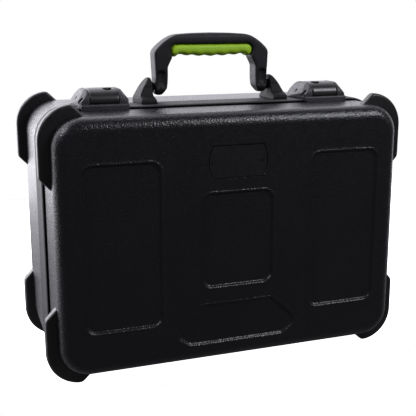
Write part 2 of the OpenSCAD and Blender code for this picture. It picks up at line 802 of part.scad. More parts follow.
module handle_bracket_right() { handle_bracket(); }
module handle_bracket_left() { mirror([1, 0, 0]) handle_bracket(); }

module handle_pins() {
    color([0.6, 0.6, 0.62])
    for (s = [0, 1])
        mirror([s, 0, 0]) bar_x(handle_pin_r, arm_in + pin_depth, pin_end, pivot_y, pivot_top);
}

// Screws put in from inside the case. Kind 0 holds the right bracket, 1 a latch
// housing round its own middle.
module inner_screw_places(kind) {
    if (kind == 0)
        for (y = [leg_end_y + rivet_head + 1.5, pivot_y + 11])
            translate([ear_in + 6, y, 0]) children();
    else
        for (dx = [-1, 1])
            translate([dx * (lever_half + 6), part_y + lever_pin_y + 8, 0]) children();
}

module screw_bore(deep) {
    translate([0, 0, shell_top - wall - 4]) cylinder(r = rivet_r + fit, h = wall + 4 + deep);
}

module inner_screw(deep) {
    translate([0, 0, shell_top - wall - 0.5]) cylinder(r = rivet_r, h = wall + 0.5 + deep);
    translate([0, 0, shell_top - wall - 2.5]) cylinder(r = rivet_head, h = 2);
}

module bracket_screws() {
    color([0.6, 0.6, 0.62])
    for (s = [0, 1])
        mirror([s, 0, 0]) inner_screw_places(0) inner_screw(foot_h - 1);
}

// ---------------------------------------------------------------- latches

lever_y = part_y + lever_pin_y;
lever_z = shell_top + lever_pin_z;
latch_y0 = part_y - latch_ahead;
latch_y1 = part_y + latch_behind;

// Side view of the latch's domed back, from its front corner to its rear corner
dome_y = 18;
dome_z = 7;
function dome(h) = concat(
    [for (i = [0:10]) let (a = 9 * i)
        [latch_y0 + dome_y * (1 - cos(a)), dome_z + (h - dome_z) * sin(a)]],
    arc([latch_y1 - 13, h - 13], 13, 80, 12, 6), [[latch_y1, 4]]);

module latch_frame(s) {
    translate([s * latch_x, 0, 0]) children();
}

// Body of the latch as one domed block: plan, front and side views intersected
module latch_block(top) {
    floor_z = run_gap - groove_depth;
    intersection() {
        rotate([90, 0, 90]) linear_extrude(2 * latch_rear + 2, center = true)
            translate([0, shell_top])
                polygon(concat([[base_lip_y - 0.1, 0], [base_lip_y - 0.1, floor_z],
                    [latch_y0, floor_z]], dome(top), [[latch_y1, 0]]));
        plate_at(latch_y0 - 1, latch_y1 + 1)
            polygon(concat([[-latch_rear, -3], [latch_rear, -3], [latch_rear, 1]],
                arc([latch_rear - 17, latch_h - 7], 7, 25, 90, 6),
                arc([17 - latch_rear, latch_h - 7], 7, 90, 155, 6), [[-latch_rear, 1]]));
        linear_extrude(shell_top + 60)
            polygon([[-latch_front, latch_y0], [latch_front, latch_y0], [latch_front + 2, latch_y0 + 4],
                [latch_rear, latch_y1 - 5], [latch_rear - 4, latch_y1], [4 - latch_rear, latch_y1],
                [-latch_rear, latch_y1 - 5], [-latch_front - 2, latch_y0 + 4]]);
    }
}

// Place and tilt of the facet that cuts a cheek's front shoulder
module each_shoulder() {
    for (m = [0, 1])
        mirror([m, 0, 0])
            translate([latch_front + 1.5, latch_y0, shell_top + 4.5])
                rotate([0, 45, 0]) rotate([21, 0, 0]) children();
}

// Housing screwed to the band: two cheeks and a rear wall round the lever
module latch_housing(s) {
    room = lever_half + run_gap;
    floor_h = 1.6;
    color([0.22, 0.22, 0.23])
    latch_frame(s)
    difference() {
        latch_block(latch_h);
        // channel for the lever and the keeper
        translate([-room, latch_y0 - 1, shell_top + floor_h])
            cube([2 * room, lever_y - latch_y0 + 1, latch_h + 5]);
        translate([-room, latch_y0 - 1, shell_top - 5])
            cube([2 * room, part_y - rim_gap - latch_y0 + 1 + 0.6, latch_h]);
        intersection() {
            bar_x(14, -room, room, lever_y, lever_z);
            translate([-room, latch_y0, shell_top + floor_h])
                cube([2 * room, latch_y1 - latch_y0, latch_h + 10]);
        }
        // the lock's barrel swings over the rear wall
        translate([-room, lever_y, shell_top + latch_h - 4.5])
            cube([2 * room, latch_y1 - lever_y, latch_h]);
        bar_x(lever_pin_r + fit, -latch_rear, latch_rear, lever_y, lever_z);
        each_shoulder() translate([-latch_rear, -latch_rear, 0])
            cube([2 * latch_rear, 3 * latch_rear, latch_rear]);
        // oval slot across each shoulder
        each_shoulder() translate([-3, 4.6, -2.6])
            linear_extrude(6) polygon(round_rect(9, 3, 1.49, 4));
        inner_screw_places(1) screw_bore(7);
    }
}

// Side view of the lever: a barrel on the pin and a hood over the channel
hook_y = part_y + 2;
hook_z = shell_top + 8.4;

module latch_lever(s) {
    lip_z = apron_h + run_gap;
    lip_t = 1.9;
    end_y = lever_y + 6.5;
    outer = concat([[latch_y0 + 0.5, lip_z]],
        [for (i = [0:10]) let (a = 9 * i)
            [latch_y0 + 0.2 + dome_y * (1 - cos(a)), dome_z + (latch_h - dome_z) * sin(a)]],
        [[end_y, latch_h]]);
    inner = concat([[end_y - 1.5, latch_h - hood_t]],
        [for (i = [10:-1:0]) let (a = 9 * i)
            [latch_y0 + lip_t + (dome_y - 1) * (1 - cos(a)),
            dome_z + (latch_h - hood_t - dome_z) * sin(a)]],
        [[latch_y0 + lip_t, lip_z]]);
    color([0.1, 0.1, 0.11])
    latch_frame(s)
    difference() {
        intersection() {
            union() {
                rotate([90, 0, 90]) linear_extrude(2 * lever_half, center = true)
                    translate([0, shell_top]) polygon(concat(outer, inner));
                // barrel and its web
                bar_x(5, -lever_half, lever_half, lever_y, lever_z);
                translate([-lever_half, lever_y - 2, lever_z]) cube([2 * lever_half, 5, 8.5]);
                // side webs that carry the hook's pin
                for (t = [-1, 1])
                    rotate([90, 0, 90])
                        translate([0, 0, t > 0 ? lever_half - 3 : -lever_half])
                            linear_extrude(3)
                                polygon(concat(arc([hook_y, hook_z], 3.2, 180, 280, 5),
                                    [[lever_y, lever_z - 3]], [[lever_y, lever_z + 9]],
                                    [[hook_y + 2, hook_z + 5], [hook_y - 2.6, hook_z + 3.4]]));
                // boss round the lock
                translate([lock_dx(s), lock_y, shell_top + lock_low])
                    cylinder(r = lock_r + 1.6, h = 5);
            }
            latch_block(latch_h + eps);
        }
        bar_x(lever_pin_r + fit, -lever_half - 1, lever_half + 1, lever_y, lever_z);
        bar_x(hook_pin_r + fit, -lever_half - 1, lever_half + 1, hook_y, hook_z);
        translate([lock_dx(s), lock_y, shell_top + lock_low - 1])
            cylinder(r = lock_r + fit, h = latch_h);
    }
}

lock_y = part_y + 11;
lock_low = 13.6;
function lock_dx(s) = -s * 6.5;

// Key barrel in the lever, with a slot for the key
module lock_core(s) {
    top = latch_h + lock_proud;
    color([0.5, 0.5, 0.52])
    latch_frame(s)
    translate([lock_dx(s), lock_y, shell_top])
    difference() {
        translate([0, 0, lock_low + 0.4]) cylinder(r = lock_r, h = top - lock_low - 0.4);
        translate([-3, -0.6, top - 2.5]) cube([6, 1.2, 3]);
    }
}

hook_pin_r = 1.5;
hook_half = lever_half - 3 - run_gap;

module latch_hook_pins(s) {
    color([0.6, 0.6, 0.62])
    latch_frame(s) bar_x(hook_pin_r, -lever_half + 0.3, lever_half - 0.3, hook_y, hook_z);
}

// Hook that bears on the keeper's crest
module latch_hook(s) {
    low = crest_h + run_gap;
    color([0.3, 0.3, 0.31])
    latch_frame(s)
    difference() {
        rotate([90, 0, 90]) linear_extrude(2 * hook_half - 0.6, center = true)
            polygon(concat(arc([hook_y, hook_z], 3, -20, 150, 10),
                [[latch_y0 + 2.8, shell_top + low + 3.4], [latch_y0 + 2.4, shell_top + low + 0.8],
                [latch_y0 + 3.2, shell_top + low], [part_y - 0.6, shell_top + low],
                [hook_y + 1.2, hook_z - 2.8]]));
        bar_x(hook_pin_r + fit, -lever_half, lever_half, hook_y, hook_z);
    }
}

crest_h = 2.4;

// Keeper screwed to the lid's rim: an apron in front of the latch, and a crest
// between the cheeks
module latch_keeper(s) {
    back = part_y - rim_gap - 0.1;
    bottom = -groove_depth;
    front = lid_rim_y + 0.6;
    apron_back = latch_y0 - 0.4;
    color([0.12, 0.12, 0.13])
    latch_frame(s)
    difference() {
        union() {
            rotate([90, 0, 90]) linear_extrude(2 * lever_half - 1, center = true)
                translate([0, shell_top])
                    polygon([[front + 1, bottom], [back, bottom], [back, crest_h],
                        [latch_y0 + 1.4, crest_h], [latch_y0 + 0.4, -0.8], [front + 1, -0.8]]);
            intersection() {
                rotate([90, 0, 90]) linear_extrude(2 * latch_rear, center = true)
                    translate([0, shell_top])
                        polygon([[front, bottom], [apron_back, bottom], [apron_back, apron_h],
                            [front + 1.2, apron_h], [front, apron_h - 1.2]]);
                plate_at(front - 1, apron_back + 1)
                    polygon([[-latch_front, bottom - 1], [latch_front, bottom - 1],
                        [latch_front + 1, apron_h - 2], [latch_front, apron_h + 1],
                        [-latch_front, apron_h + 1], [-latch_front - 1, apron_h - 2]]);
            }
        }
        keeper_screw_places()
            translate([0, 0, shell_top + bottom - 1]) cylinder(r = keeper_screw_r + fit, h = 12);
        keeper_screw_places() translate([0, 0, keeper_seat]) cylinder(r = keeper_head + 0.2, h = 12);
    }
}

keeper_screw_r = 1.2;
keeper_head = 2.1;
keeper_seat = shell_top - 0.2;
keeper_screw_l = groove_depth + 5.2;

module keeper_screw_places() {
    for (dx = [-1, 1])
        translate([dx * (lever_half - 6), latch_y0 + 0.4, 0]) children();
}

module keeper_screws() {
    color([0.6, 0.6, 0.62])
    for (s = [-1, 1])
        latch_frame(s) keeper_screw_places() {
            translate([0, 0, keeper_seat - keeper_screw_l])
                cylinder(r = keeper_screw_r, h = keeper_screw_l + 0.5);
            translate([0, 0, keeper_seat]) cylinder(r = keeper_head, h = 1.2);
        }
}

module keeper_bores() {
    for (s = [-1, 1])
        latch_frame(s) keeper_screw_places()
            translate([0, 0, keeper_seat - keeper_screw_l - 1])
                cylinder(r = keeper_screw_r + fit, h = keeper_screw_l + 1);
}

module latch_lever_pins() {
    half = latch_rear - 5.8;
    color([0.6, 0.6, 0.62])
    for (s = [-1, 1])
        latch_frame(s) bar_x(lever_pin_r, -half, half, lever_y, lever_z);
}

module latch_screws() {
    color([0.6, 0.6, 0.62])
    for (s = [-1, 1])
        latch_frame(s) inner_screw_places(1) inner_screw(6);
}

module latch_housing_left() { latch_housing(-1); }
module latch_housing_right() { latch_housing(1); }
module latch_keeper_left() { latch_keeper(-1); }
module latch_keeper_right() { latch_keeper(1); }
module latch_lever_left() { latch_lever(-1); }
module latch_lever_right() { latch_lever(1); }
module latch_hook_left() { latch_hook(-1); }
module latch_hook_right() { latch_hook(1); }
module latch_hook_pins_left() { latch_hook_pins(-1); }
module latch_hook_pins_right() { latch_hook_pins(1); }
module lock_core_left() { lock_core(-1); }
module lock_core_right() { lock_core(1); }

// ------------------------------------------------------------------ badge

plate_front = front_y + recess - badge_t;

module badge_screw_places() {
    for (s = [-1, 1])
        translate([s * badge_screw_x, 0, shell_bottom + badge_z]) children();
}

module badge_plate() {
    color([0.03, 0.03, 0.03])
    difference() {
        translate([0, 0, shell_bottom]) plate(plate_front, front_y + recess)
            translate([0, badge_z]) polygon(badge_outline(0));
        badge_screw_places() translate([0, plate_front - 1, 0]) rotate([-90, 0, 0])
            cylinder(r = 1 + fit, h = 4);
    }
}

module badge_screws() {
    color([0.15, 0.15, 0.16])
    badge_screw_places() {
        translate([0, plate_front - 0.8, 0]) rotate([-90, 0, 0]) cylinder(r = 2, h = 0.8);
        translate([0, plate_front - 0.4, 0]) rotate([-90, 0, 0]) cylinder(r = 1, h = 5);
    }
}

// ------------------------------------------------------- bores of the shells

module base_bores() {
    each_rivet(base_rivet_y) cylinder(r = rivet_r + fit, h = shell_bottom + wall + 2);
    for (s = [0, 1])
        mirror([s, 0, 0]) inner_screw_places(0) screw_bore(4);
    for (s = [-1, 1])
        latch_frame(s) inner_screw_places(1) screw_bore(4);
}

module lid_bores() {
    each_rivet(lid_rivet_y) cylinder(r = rivet_r + fit, h = lid_bottom + wall + 3);
    badge_screw_places() translate([0, front_y, 0]) rotate([-90, 0, 0])
        cylinder(r = 1 + fit, h = 6.5);
}

base_shell();
base_valance();
base_foam_pad();
mic_foam_1();
mic_foam_2();
mic_foam_3();
mic_foam_4();
mic_foam_5();
accessory_foam();
hinge_base_leaves();
hinge_pins();
hinge_base_rivets();
handle_bracket_left();
handle_bracket_right();
handle_pins();
bracket_screws();
latch_housing_left();
latch_housing_right();
latch_lever_pins();
latch_screws();
lid_shell();
lid_valance();
lid_foam();
hinge_lid_leaves();
hinge_lid_rivets();
badge_plate();
badge_screws();
latch_keeper_left();
latch_keeper_right();
keeper_screws();
handle_bail();
handle_grip();
latch_lever_left();
latch_lever_right();
latch_hook_left();
latch_hook_right();
latch_hook_pins_left();
latch_hook_pins_right();
lock_core_left();
lock_core_right();
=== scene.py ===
"""Looks of a hard moulded microphone case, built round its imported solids.

Lengths in this file are millimetres until they reach a mesh, where MM turns them into metres.
X runs along the width, Y from the lid (front) to the base (rear), Z up.
"""
import json
import math

import bmesh
import bpy
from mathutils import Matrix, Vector


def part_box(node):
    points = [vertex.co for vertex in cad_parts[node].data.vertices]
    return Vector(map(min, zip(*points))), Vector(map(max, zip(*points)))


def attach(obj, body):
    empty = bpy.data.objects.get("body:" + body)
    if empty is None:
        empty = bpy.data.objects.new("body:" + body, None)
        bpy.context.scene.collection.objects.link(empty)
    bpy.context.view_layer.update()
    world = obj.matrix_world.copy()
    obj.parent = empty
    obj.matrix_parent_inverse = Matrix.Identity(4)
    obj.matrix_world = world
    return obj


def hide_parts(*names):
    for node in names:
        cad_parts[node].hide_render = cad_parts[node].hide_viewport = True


MM = 0.001
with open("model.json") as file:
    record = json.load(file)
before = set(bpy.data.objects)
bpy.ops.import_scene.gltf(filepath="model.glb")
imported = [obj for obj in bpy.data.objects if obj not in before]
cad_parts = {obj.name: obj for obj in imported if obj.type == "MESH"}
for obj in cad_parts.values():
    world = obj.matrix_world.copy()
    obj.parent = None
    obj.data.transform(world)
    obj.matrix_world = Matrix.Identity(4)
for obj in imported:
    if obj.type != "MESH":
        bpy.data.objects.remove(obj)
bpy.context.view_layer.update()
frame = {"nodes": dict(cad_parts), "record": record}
nodes = frame["nodes"]
scene = bpy.context.scene


def span(node):
    """Lowest and highest corner of a node, in millimetres."""
    low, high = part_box(node)
    return low / MM, high / MM


# --------------------------------------------------------------- driving sizes

band_low, band_high = span("base_valance")
lid_low, lid_high = span("lid_shell")
lip_low, lip_high = span("lid_valance")

CASE_W = band_high.x - band_low.x
CASE_H = band_high.z - band_low.z
MID_Z = (band_high.z + band_low.z) / 2
FRONT_Y = lid_low.y
REAR_Y = span("base_shell")[1].y
LID_RIM_Y = lid_high.y
BAND_END_Y = band_high.y
BAND_SEEN_Y = -3.0     # where the shell's side begins, over the rear of the band
BUMP = lid_high.x - CASE_W / 2       # how far a bumper stands out
GROOVE = CASE_W / 2 - lip_high.x     # depth of the groove between the halves
CORNER_R = 38.0
HALF_W = CASE_W / 2 - CORNER_R       # where the outline's corners begin
HALF_H = CASE_H / 2 - CORNER_R
WALL = 4.5
DRAFT = 0.031
FRONT_ROUND = 15.0
REAR_ROUND = 13.0
LID_STEP = 3.3        # the lid's sides stand this far inside the base's band
LEG_IN = 7.0          # inner face of the base extrusion's leg, inside the shell's side
RIM_IN = -10.3        # inner face of both rim extrusions where they meet
RECESS = 2.5          # depth of a recess in the front face

# ------------------------------------------------------------------- camera

CAMERA_AT = (-349.76, -942.96, 413.07)
YAW = 0.354           # turned towards +X
PITCH = 0.233         # looking down
LENS = 70.5


def make_camera():
    cam = bpy.data.cameras.new("camera")
    cam.lens = LENS
    cam.sensor_width = 36
    cam.clip_end = 20
    obj = bpy.data.objects.new("camera", cam)
    obj.location = Vector(CAMERA_AT) * MM
    obj.rotation_euler = (math.pi / 2 - PITCH, 0, -YAW)
    scene.collection.objects.link(obj)
    scene.camera = obj


make_camera()

# ------------------------------------------------------------------ materials


class Tree:
    """Short hand for the node tree of a material or a world."""

    def __init__(self, owner):
        owner.use_nodes = True
        self.tree = owner.node_tree

    def add(self, kind):
        return self.tree.nodes.new("ShaderNode" + kind)

    def link(self, source, target):
        self.tree.links.new(source, target)

    def feed(self, value, target):
        """Gives a socket another socket's output, or a plain number or colour."""
        if isinstance(value, bpy.types.NodeSocket):
            self.link(value, target)
        else:
            target.default_value = value

    def span(self, source, low, high, a, b, curve="LINEAR"):
        """Values a to b as source goes from low to high."""
        node = self.add("MapRange")
        node.interpolation_type = curve
        for key, value in (("From Min", low), ("From Max", high), ("To Min", a), ("To Max", b)):
            node.inputs[key].default_value = value
        self.link(source, node.inputs["Value"])
        return node.outputs["Result"]

    def combine(self, operation, a, b):
        node = self.add("Math")
        node.operation = operation
        self.feed(a, node.inputs[0])
        self.feed(b, node.inputs[1])
        return node.outputs[0]

    def mix(self, kind, factor, a, b):
        """a where factor is 0, b where it is 1."""
        node = self.add("Mix")
        node.data_type = kind
        self.feed(a, node.inputs["A"])
        self.feed(b, node.inputs["B"])
        self.link(factor, node.inputs["Factor"])
        return node.outputs["Result"]


class Material(Tree):
    def __init__(self, name):
        self.mat = bpy.data.materials.new(name)
        super().__init__(self.mat)
        self.shader = self.tree.nodes["Principled BSDF"]
        self.coords = self.add("TexCoord").outputs["Object"]

    def noise(self, scale, detail=3.0, rough=0.55, stretch=None):
        tex = self.add("TexNoise")
        tex.inputs["Scale"].default_value = scale
        tex.inputs["Detail"].default_value = detail
        tex.inputs["Roughness"].default_value = rough
        source = self.coords
        if stretch:
            mapping = self.add("Mapping")
            mapping.inputs["Scale"].default_value = stretch
            self.link(self.coords, mapping.inputs["Vector"])
            source = mapping.outputs["Vector"]
        self.link(source, tex.inputs["Vector"])
        return tex.outputs["Fac"]

    def pebbles(self, scale, smooth=0.6):
        tex = self.add("TexVoronoi")
        tex.feature = "SMOOTH_F1"
        tex.inputs["Scale"].default_value = scale
        tex.inputs["Smoothness"].default_value = smooth
        self.link(self.coords, tex.inputs["Vector"])
        return tex.outputs["Distance"]

    def ramp(self, source, low, high, a, b):
        """Colours a to b as source goes from low to high."""
        node = self.add("ValToRGB")
        first, last = node.color_ramp.elements
        first.position, last.position = low, high
        first.color, last.color = (*a, 1), (*b, 1)
        self.link(source, node.inputs["Fac"])
        return node.outputs["Color"]

    def bump(self, source, distance, under=None):
        node = self.add("Bump")
        node.inputs["Strength"].default_value = 1.0
        node.inputs["Distance"].default_value = distance
        self.link(source, node.inputs["Height"])
        if under:
            self.link(under, node.inputs["Normal"])
        return node.outputs["Normal"]


def moulded(name, dark, light, rough, grain=1150, depth=0.00012, spec=0.5, broad=0.0, soft=False):
    """Moulded plastic with a pebble or soft grain, slight colour change and dulled patches."""
    m = Material(name)
    cloud = m.noise(14, 4)
    m.link(m.ramp(cloud, 0.35, 0.7, dark, light), m.shader.inputs["Base Color"])
    fine = m.noise(260, 2)
    m.link(m.span(fine, 0.3, 0.7, rough - 0.05, rough + 0.06), m.shader.inputs["Roughness"])
    m.shader.inputs["Specular IOR Level"].default_value = spec
    under = m.bump(m.noise(55, 2), broad) if broad else None
    height = m.noise(grain, 1, 0.4) if soft else m.pebbles(grain)
    m.link(m.bump(height, depth, under), m.shader.inputs["Normal"])
    return m.mat


def shell_plastic():
    return moulded("case_shell", (0.0042, 0.0041, 0.0062), (0.0056, 0.0054, 0.0078), 0.3,
                   grain=560, depth=0.0005, spec=0.44, broad=0.0001, soft=True)


def bumper_plastic():
    return moulded("case_bumper", (0.0042, 0.0042, 0.0048), (0.006, 0.006, 0.0068), 0.38,
                   grain=900, depth=0.0001, spec=0.42)


def rim_plastic(name, dark, light, rough):
    return moulded(name, dark, light, rough, grain=1600, depth=0.00003)


def soft_rubber():
    m = Material("grip_rubber")
    cloud = m.noise(30, 3)
    m.link(m.ramp(cloud, 0.3, 0.72, (0.31, 0.54, 0.012), (0.38, 0.62, 0.02)),
           m.shader.inputs["Base Color"])
    m.link(m.span(m.noise(180, 2), 0.3, 0.7, 0.5, 0.62), m.shader.inputs["Roughness"])
    m.shader.inputs["Subsurface Weight"].default_value = 0.06
    m.shader.inputs["Subsurface Radius"].default_value = (0.002, 0.003, 0.0008)
    m.link(m.bump(m.pebbles(1500), 0.00006), m.shader.inputs["Normal"])
    return m.mat


def metal(name, colour, rough, stretch=(1, 14, 14)):
    m = Material(name)
    brushed = m.noise(300, 4, 0.6, stretch)
    dull = [c * 0.86 for c in colour]
    m.link(m.ramp(brushed, 0.3, 0.7, dull, colour), m.shader.inputs["Base Color"])
    m.link(m.span(brushed, 0.3, 0.7, rough - 0.05, rough + 0.1), m.shader.inputs["Roughness"])
    m.shader.inputs["Metallic"].default_value = 1.0
    m.link(m.bump(brushed, 0.00001), m.shader.inputs["Normal"])
    return m.mat


def coated_steel():
    """Black coat that is worn to grey steel on convex edges."""
    m = Material("black_coated_steel")
    wear = m.span(m.add("NewGeometry").outputs["Pointiness"], 0.55, 0.7, 0, 1)
    m.link(m.ramp(wear, 0, 1, (0.014, 0.014, 0.015), (0.2, 0.2, 0.21)),
           m.shader.inputs["Base Color"])
    m.link(m.span(m.noise(220, 3), 0.3, 0.7, 0.38, 0.5), m.shader.inputs["Roughness"])
    m.link(m.bump(m.noise(900, 2), 0.00002), m.shader.inputs["Normal"])
    return m.mat


def foam(name, dark, light):
    m = Material(name)
    pores = m.pebbles(620, 0.3)
    m.link(m.ramp(m.noise(120, 5), 0.3, 0.75, dark, light), m.shader.inputs["Base Color"])
    m.shader.inputs["Roughness"].default_value = 0.95
    m.shader.inputs["Sheen Weight"].default_value = 0.25
    m.shader.inputs["Sheen Roughness"].default_value = 0.6
    m.link(m.bump(pores, 0.0005), m.shader.inputs["Normal"])
    return m.mat


MATS = {
    "shell": shell_plastic(),
    "bumper": bumper_plastic(),
    "band": rim_plastic("rim_band", (0.011, 0.011, 0.013), (0.016, 0.016, 0.018), 0.55),
    "lip": rim_plastic("rim_lip", (0.002, 0.002, 0.0025), (0.004, 0.004, 0.0045), 0.7),
    "handle": moulded("handle_nylon", (0.007, 0.007, 0.009), (0.011, 0.011, 0.014), 0.55,
                      1500, 0.00004, 0.3),
    "grip": soft_rubber(),
    "bracket": moulded("bracket_nylon", (0.005, 0.005, 0.006), (0.009, 0.009, 0.01), 0.6,
                       1500, 0.00005, 0.18),
    "latch": moulded("latch_nylon", (0.014, 0.014, 0.017), (0.024, 0.024, 0.028), 0.5,
                     620, 0.0003),
    "lever": moulded("lever_nylon", (0.005, 0.005, 0.006), (0.008, 0.008, 0.009), 0.36,
                     1600, 0.00001, 0.6),
    "steel": metal("zinc_steel", (0.55, 0.55, 0.57), 0.32),
    "steel_black": coated_steel(),
    "black_pin": metal("black_oxide_steel", (0.035, 0.035, 0.038), 0.4),
    "badge": moulded("badge_plate", (0.004, 0.004, 0.0045), (0.005, 0.005, 0.006), 0.34,
                     1800, 0.00001),
    "foam": foam("foam_block", (0.012, 0.012, 0.013), (0.022, 0.022, 0.024)),
    "lid_foam": foam("foam_lid", (0.018, 0.018, 0.02), (0.03, 0.03, 0.033)),
}

# -------------------------------------------------------------- mesh helpers

WELD = 1e-6           # metres: points closer than this are one
SLIVER = 1e-7         # metres: shorter edges are dropped


def new_object(name, verts, faces, material, smooth=35):
    """Object from millimetre points, shaded smooth up to an angle in degrees."""
    mesh = bpy.data.meshes.new(name)
    mesh.from_pydata([Vector(v) * MM for v in verts], [], faces)
    mesh.validate()
    bm = bmesh.new()
    bm.from_mesh(mesh)
    bmesh.ops.remove_doubles(bm, verts=bm.verts, dist=WELD)
    bmesh.ops.dissolve_degenerate(bm, edges=bm.edges, dist=SLIVER)
    bmesh.ops.recalc_face_normals(bm, faces=bm.faces)
    bm.to_mesh(mesh)
    bm.free()
    obj = bpy.data.objects.new(name, mesh)
    scene.collection.objects.link(obj)
    mesh.materials.append(material)
    shade(obj, smooth)
    return obj


def shade(obj, degrees):
    mesh = obj.data
    mesh.polygons.foreach_set("use_smooth", [True] * len(mesh.polygons))
    mesh.set_sharp_from_angle(angle=math.radians(degrees))
    mesh.update()


def apply_modifiers(obj):
    """Bakes an object's modifiers into its mesh."""
    bpy.context.view_layer.update()
    graph = bpy.context.evaluated_depsgraph_get()
    mesh = bpy.data.meshes.new_from_object(obj.evaluated_get(graph))
    obj.modifiers.clear()
    obj.data = mesh


def finished(obj, body, slot, *replaced):
    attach(obj, body)
    if replaced:
        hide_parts(*replaced)
    return obj


def copy_node(node, name):
    """A welded copy of a node's mesh, as a new piece."""
    obj = bpy.data.objects.new(name, nodes[node].data.copy())
    scene.collection.objects.link(obj)
    obj.data.materials.clear()
    bm = bmesh.new()
    bm.from_mesh(obj.data)
    bmesh.ops.remove_doubles(bm, verts=bm.verts, dist=2 * WELD)
    bm.to_mesh(obj.data)
    bm.free()
    return obj


def soften(node, name, material, voxel, passes):
    """A node's own form with its edges rounded as a mould rounds them."""
    obj = copy_node(node, name)
    remesh = obj.modifiers.new("remesh", "REMESH")
    remesh.mode = "VOXEL"
    remesh.voxel_size = voxel * MM
    rounding = obj.modifiers.new("rounding", "SMOOTH")
    rounding.factor = 0.5
    rounding.iterations = passes
    apply_modifiers(obj)
    obj.data.materials.clear()
    obj.data.materials.append(material)
    shade(obj, 180)
    return obj


def tube_faces(rows, n):
    """Quads between closed rows of n points each."""
    faces = []
    for k in range(rows - 1):
        for i in range(n):
            j = (i + 1) % n
            faces.append((k * n + i, k * n + j, (k + 1) * n + j, (k + 1) * n + i))
    return faces


def cap(row, n):
    return tuple(range(row * n, (row + 1) * n))


# ---------------------------------------------------------- moulded shells

EDGE_BAND = 3.5       # the mesh is finest this near to an edge of a recess
EDGE_REACH = 14.0     # and still fine this near
FINEST, FINE, COARSE = 0.55, 1.6, 5.0


def spread(start, end, step):
    """Even places from start to end, about a step apart."""
    n = max(1, round(abs(end - start) / step))
    return [start + (end - start) * i / n for i in range(n + 1)]


def lines(half, edges):
    """Grid lines from -half to half, close together near each edge."""
    stops = {-half, half}
    for edge in edges:
        for side in (-1, 1):
            for offset in (-EDGE_REACH, -EDGE_BAND, EDGE_BAND, EDGE_REACH):
                place = side * edge + offset
                if abs(place) < half:
                    stops.add(round(place, 3))
    stops = sorted(stops)
    out = [stops[0]]
    for a, b in zip(stops, stops[1:]):
        middle = (a + b) / 2
        off = min(abs(abs(middle) - e) for e in edges)
        step = FINEST if off < EDGE_BAND else FINE if off < EDGE_REACH else COARSE
        out += spread(a, b, step)[1:]
    return out


def rounded_loop(rho, y, xs, zs, turns=18):
    """Points round a rounded rectangle whose corners have radius rho."""
    cx, cz = HALF_W, HALF_H
    quarter = [math.pi / 2 * i / turns for i in range(turns + 1)]
    loop = []
    for quadrant, (sx, sz) in enumerate(((1, 1), (-1, 1), (-1, -1), (1, -1))):
        for a in quarter:
            angle = a + quadrant * math.pi / 2
            loop.append((sx * cx + rho * math.cos(angle), y, sz * cz + rho * math.sin(angle)))
        if quadrant == 0:
            loop += [(x, y, cz + rho) for x in xs[::-1][1:-1]]
        elif quadrant == 1:
            loop += [(-cx - rho, y, z) for z in zs[::-1][1:-1]]
        elif quadrant == 2:
            loop += [(x, y, -cz - rho) for x in xs[1:-1]]
        else:
            loop += [(cx + rho, y, z) for z in zs[1:-1]]
    return loop


def shell_side(inset, rim_y, face_y, radius, steps):
    """(u, y) points of a drafted side, from its face's edge back to its rim."""
    way = 1 if face_y > rim_y else -1
    rr = radius - inset
    slope = math.atan(DRAFT)
    deep = abs(face_y - rim_y) - inset - rr
    uc = -inset - DRAFT * deep - rr / math.cos(slope)
    points = []
    for i in range(steps + 1):
        a = math.pi / 2 + (slope - math.pi / 2) * i / steps
        points.append((uc + rr * math.cos(a), rim_y + way * (deep + rr * math.sin(a))))
    u, y = points[-1]
    for t in spread(0, 1, 0.08)[1:]:
        points.append((u + (-inset - u) * t, y + (rim_y - y) * t))
    return points


def pan(name, face_y, rim_y, radius, xs, zs, relief, rim, step=0.0):
    """Closed moulded half: face with relief, rounded edge, drafted side, rim, inner side."""
    outer = [(u - step, y) for u, y in shell_side(0, rim_y, face_y, radius, 12)]
    inner = [(u - step, y) for u, y in shell_side(WALL, rim_y, face_y, radius, 8)]
    rim = [(u - step, y) for u, y in rim]
    side = outer + rim + inner[::-1]
    return slab(name, face_y, 1.0, side, xs, zs, relief, MATS["shell"])


def slab(name, face_y, step, side, xs, zs, relief, material):
    """Closed solid with a relief on its face.

    side is its (u, y) line from the face's edge to the end, and step the width of the face's rings.
    """
    loops = [(rho, face_y) for rho in spread(0, CORNER_R + side[0][0], step)]
    loops += [(CORNER_R + u, y) for u, y in side[1:]]
    verts = []
    for rho, y in loops:
        loop = rounded_loop(rho, y, xs, zs)
        if y == face_y:
            loop = [(x, y + relief(x, z), z) for x, _, z in loop]
        verts += loop
    n = len(loop)
    faces = tube_faces(len(loops), n)
    faces.append(cap(len(loops) - 1, n))
    start = len(verts)
    verts += [(x, face_y + relief(x, z), z) for z in zs for x in xs]
    for r in range(len(zs) - 1):
        for c in range(len(xs) - 1):
            a = start + r * len(xs) + c
            faces.append((a, a + 1, a + len(xs) + 1, a + len(xs)))
    verts = [(x, y, z + MID_Z) for x, y, z in verts]
    return new_object(name, verts, faces, material, 40)


def rounded_box_distance(x, z, half_w, half_h, r):
    dx, dz = abs(x) - half_w + r, abs(z) - half_h + r
    return math.hypot(max(dx, 0), max(dz, 0)) + min(max(dx, dz), 0) - r


def polygon_distance(x, z, points):
    """Signed distance to a convex outline given anticlockwise, rounded outside its corners."""
    inside, best = -1e9, 1e9
    for (ax, az), (bx, bz) in zip(points, points[1:] + points[:1]):
        ex, ez = bx - ax, bz - az
        length = math.hypot(ex, ez)
        side = ((x - ax) * ez - (z - az) * ex) / length
        inside = max(inside, side)
        t = min(1, max(0, ((x - ax) * ex + (z - az) * ez) / length ** 2))
        best = min(best, math.hypot(x - ax - t * ex, z - az - t * ez))
    return best if inside > 0 else inside


def ease(t):
    t = min(1.0, max(0.0, t))
    return t * t * (3 - 2 * t)


